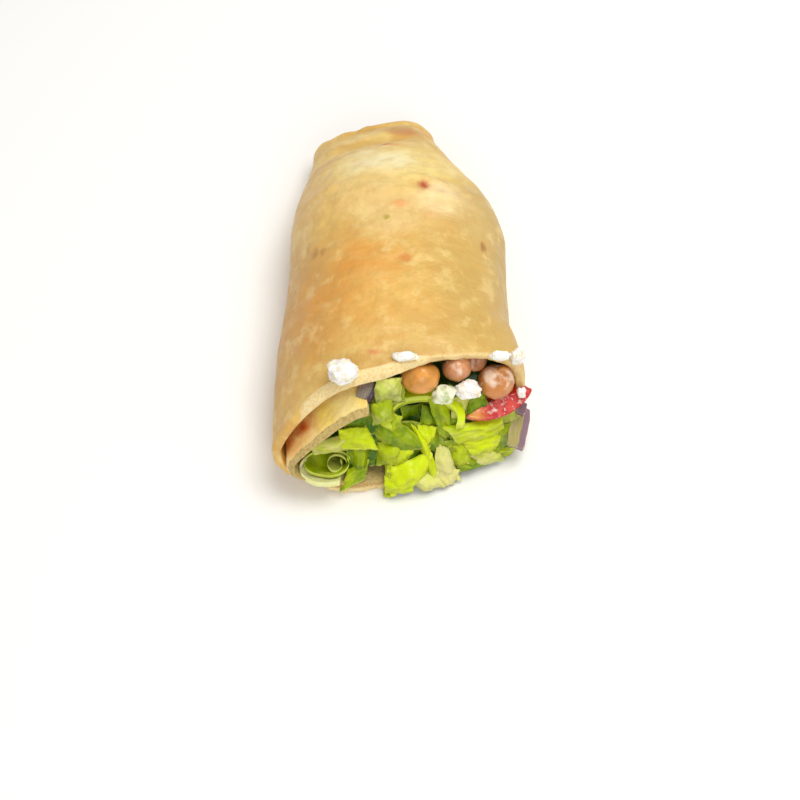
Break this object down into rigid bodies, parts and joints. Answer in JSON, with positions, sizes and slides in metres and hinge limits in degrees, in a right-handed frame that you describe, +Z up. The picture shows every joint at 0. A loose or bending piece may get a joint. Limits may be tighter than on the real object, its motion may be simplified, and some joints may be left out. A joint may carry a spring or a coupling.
{
  "type": "sandwich wrap half",
  "caption": "Half of a rolled flatbread wrap, cut across, with lettuce, chickpeas, cheese crumbs, tomato and red onion showing at the cut.",
  "frame": {"origin": "on the table, under the middle of the whole half wrap", "axes": "+Z up, -Y out of the cut mouth, +Y towards the tucked end, +X to the right seen from the mouth"},
  "size_m": [0.0755, 0.1314, 0.0493],
  "materials": {
    "flatbread": "soft, dry and toasted in patches",
    "lettuce": "moist",
    "chickpea": "moist",
    "cheese": "crumbly",
    "tomato": "wet",
    "onion": "moist"
  },
  "bodies": {
    "root": {"flatbread": "flatbread", "salad": "lettuce", "tomato_slice": "tomato", "chickpea_1": "chickpea", "chickpea_2": "chickpea", "chickpea_3": "chickpea", "chickpea_4": "chickpea", "cheese_crumb_1": "cheese", "cheese_crumb_2": "cheese", "cheese_crumb_3": "cheese", "cheese_crumb_4": "cheese", "cheese_crumb_5": "cheese", "cheese_crumb_6": "cheese", "cheese_crumb_7": "cheese", "onion_slice_1": "onion", "onion_slice_2": "onion", "onion_slice_3": "onion"}
  },
  "joints": []
}
